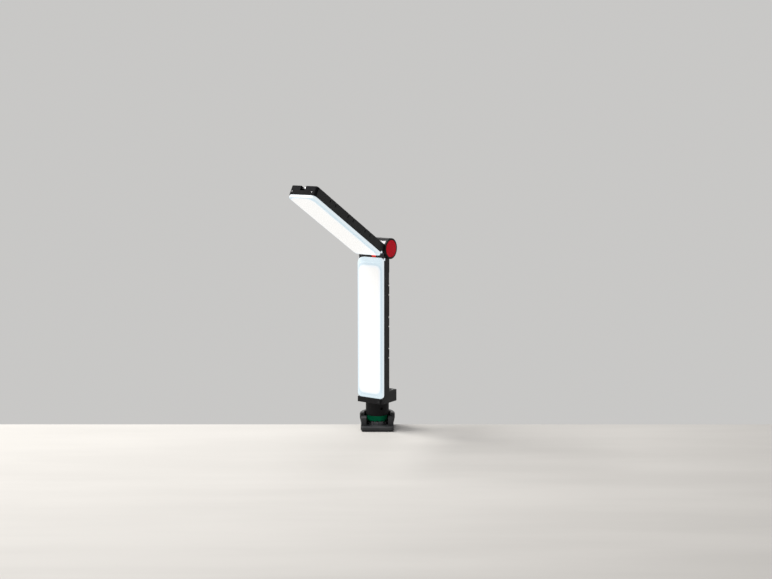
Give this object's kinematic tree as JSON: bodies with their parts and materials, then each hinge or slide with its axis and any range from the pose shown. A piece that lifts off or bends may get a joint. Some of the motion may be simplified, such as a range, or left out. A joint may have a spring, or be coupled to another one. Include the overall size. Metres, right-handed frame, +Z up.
{
  "type": "led clamp lamp",
  "caption": "Folding work lamp: two flat light panels joined by a round hinge barrel, on a turning neck held by a bench clamp with a screw.",
  "frame": {"origin": "on the swivel's axis at the contact face of the upper jaw, which is the bench's surface", "axes": "+Z up along the swivel, -Y from the bench's edge inwards over the bench, +X along the edge"},
  "size_m": [0.1388, 0.1776, 0.467],
  "materials": {
    "clamp_casting": "black painted, fine satin",
    "pad_rubber": "matt rubber",
    "collar_grey": "ribbed, satin",
    "bush_green": "dark green, satin",
    "screw_steel": "bright zinc",
    "insert_brass": "turned",
    "grip_black": "fluted, satin",
    "plate_steel": "blanked sheet",
    "spring_steel": "spring wire",
    "pad_metal": "dark, turned",
    "clamp_screw": "black oxide screw",
    "knob_plastic": "moulded",
    "spigot_steel": "turned",
    "washer_nylon": "plain",
    "neck_black": "black anodised, satin",
    "screw_dark": "black",
    "housing_black": "black anodised, satin",
    "chin_black": "satin",
    "cover_black": "satin",
    "diffuser_white": "milky, lit from behind",
    "board_white": "white solder mask",
    "board_green": "green solder mask",
    "led_yellow": "phosphor",
    "reflector_white": "white sheet",
    "battery_grey": "foil pouch",
    "button_black": "satin",
    "switch_black": "plain",
    "port_steel": "bright",
    "flap_rubber": "matt",
    "hinge_black": "black anodised, polished",
    "pin_steel": "turned",
    "hinge_red": "red, satin"
  },
  "bodies": {
    "clamp": {"clamp_frame": "clamp_casting", "upper_jaw_pad": "pad_rubber", "ribbed_collar": "collar_grey", "swivel_bush": "bush_green", "collar_screws": "screw_steel", "thread_insert": "insert_brass"},
    "grip_left": {"release_grip_left": "grip_black", "latch_plate_left": "plate_steel", "grip_spring_left": "spring_steel"},
    "grip_right": {"release_grip_right": "grip_black", "latch_plate_right": "plate_steel", "grip_spring_right": "spring_steel"},
    "pressure_foot": {"pressure_pad_rubber": "pad_rubber", "pressure_pad": "pad_metal", "pad_clip": "plate_steel"},
    "screw": {"clamp_screw": "clamp_screw", "clamp_knob": "knob_plastic"},
    "head": {"swivel_spigot": "spigot_steel", "swivel_washer": "washer_nylon", "neck": "neck_black", "neck_set_screw": "screw_dark", "spigot_screws": "screw_steel", "neck_screws": "screw_steel", "lower_housing": "housing_black", "chin_cover": "chin_black", "rear_box_cover": "cover_black", "box_screws": "screw_steel", "lower_diffuser": "diffuser_white", "lower_led_board": "board_white", "lower_leds": "led_yellow", "lower_reflector": "reflector_white", "battery": "battery_grey", "power_switch": "switch_black", "control_board": "board_green", "usb_port": "port_steel", "hinge_cheek_left": "hinge_black", "hinge_cheek_right": "hinge_black", "cheek_screws": "screw_steel", "hinge_pin": "pin_steel", "hinge_nut": "pin_steel", "hinge_washers": "plate_steel", "hinge_rim_left": "hinge_black", "hinge_rim_right": "hinge_black", "hinge_cap_left": "hinge_red", "hinge_cap_right": "hinge_red"},
    "button": {"power_button": "button_black"},
    "flap": {"usb_flap": "flap_rubber"},
    "arm": {"hinge_knuckle": "hinge_black", "hinge_band": "hinge_red", "upper_housing": "housing_black", "upper_end_cap": "housing_black", "hanging_bar": "screw_dark", "bar_roller": "screw_steel", "end_screws": "screw_steel", "knuckle_screws": "screw_steel", "upper_diffuser": "diffuser_white", "upper_led_board": "board_white", "upper_leds": "led_yellow", "upper_reflector": "reflector_white"}
  },
  "joints": [
    {"name": "head_swivel", "type": "hinge", "parent": "clamp", "child": "head", "pos_m": [0, 0, 0.02], "axis": [0, 0, 1], "continuous": true},
    {"name": "panel_fold", "type": "hinge", "parent": "head", "child": "arm", "pos_m": [0, 0, 0.253], "axis": [0.8221, -0.5693, 0], "range_deg": [-239.8, 6]},
    {"name": "grip_left_press", "type": "slide", "parent": "clamp", "child": "grip_left", "axis": [1, 0, 0], "range_m": [0, 0.0023], "stiffness_N_per_m": 1500, "springref_m": -0.001},
    {"name": "grip_right_press", "type": "slide", "parent": "clamp", "child": "grip_right", "axis": [-1, 0, 0], "range_m": [0, 0.0023], "stiffness_N_per_m": 1500, "springref_m": -0.001},
    {"name": "foot_travel", "type": "slide", "parent": "clamp", "child": "pressure_foot", "axis": [0, 0, 1], "range_m": [-0.0155, 0.023]},
    {"name": "screw_turn", "type": "hinge", "parent": "pressure_foot", "child": "screw", "pos_m": [0, -0.008, -0.06], "axis": [0, 0, 1], "range_deg": [-2235, 3315]},
    {"name": "button_press", "type": "slide", "parent": "head", "child": "button", "axis": [0.5693, 0.8221, 0], "range_m": [0, 0.0007], "stiffness_N_per_m": 800, "springref_m": -0.0004},
    {"name": "flap_open", "type": "hinge", "parent": "head", "child": "flap", "pos_m": [0.00955, 0.01379, 0.0411], "axis": [-0.8221, 0.5693, 0], "range_deg": [0, 95]}
  ],
  "couplings": [
    {"joint": "screw_turn", "follows": "foot_travel", "rad_per_m": 2513.3}
  ]
}
